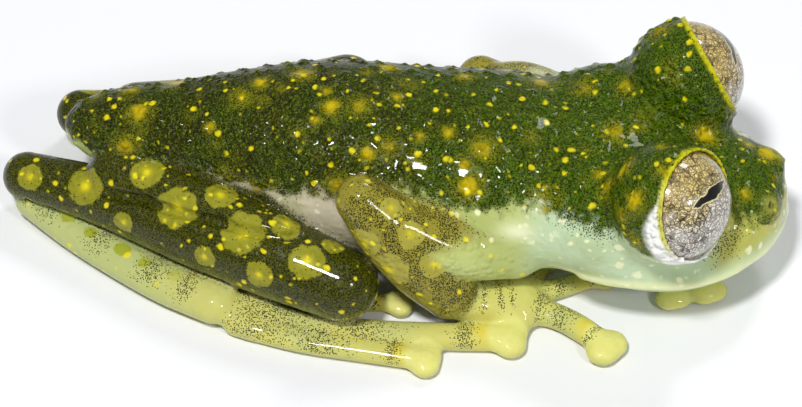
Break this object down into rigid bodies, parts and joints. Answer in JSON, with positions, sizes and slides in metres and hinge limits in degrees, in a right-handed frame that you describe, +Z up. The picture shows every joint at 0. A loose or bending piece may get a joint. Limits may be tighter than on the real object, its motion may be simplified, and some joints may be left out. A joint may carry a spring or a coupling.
{
  "type": "glass frog model",
  "caption": "Life-size still model of a glass frog crouching with folded legs, green spotted back, large round eyes and disc-tipped toes.",
  "frame": {"origin": "middle of the flat under the belly, on the floor that the frog sits on", "axes": "-Y from the vent towards the snout, +X to the frog's left, +Z up from the floor"},
  "size_m": [0.0162, 0.0331, 0.0092],
  "materials": {
    "back_skin": "moist skin, green with fine black specks and soft yellow spots",
    "leg_skin": "moist skin, olive with black banding and yellow dots",
    "foot_skin": "moist, half clear yellow-green skin",
    "eye": "silver-beige iris netted with brown under a clear wet surface"
  },
  "bodies": {
    "root": {"eye_right": "eye", "eye_left": "eye", "head": "back_skin", "trunk": "back_skin", "foot_right": "foot_skin", "hand_right": "foot_skin", "shank_right": "leg_skin", "thigh_right": "leg_skin", "forearm_right": "leg_skin", "upper_arm_right": "leg_skin", "foot_left": "foot_skin", "hand_left": "foot_skin", "shank_left": "leg_skin", "thigh_left": "leg_skin", "forearm_left": "leg_skin", "upper_arm_left": "leg_skin"}
  },
  "joints": []
}
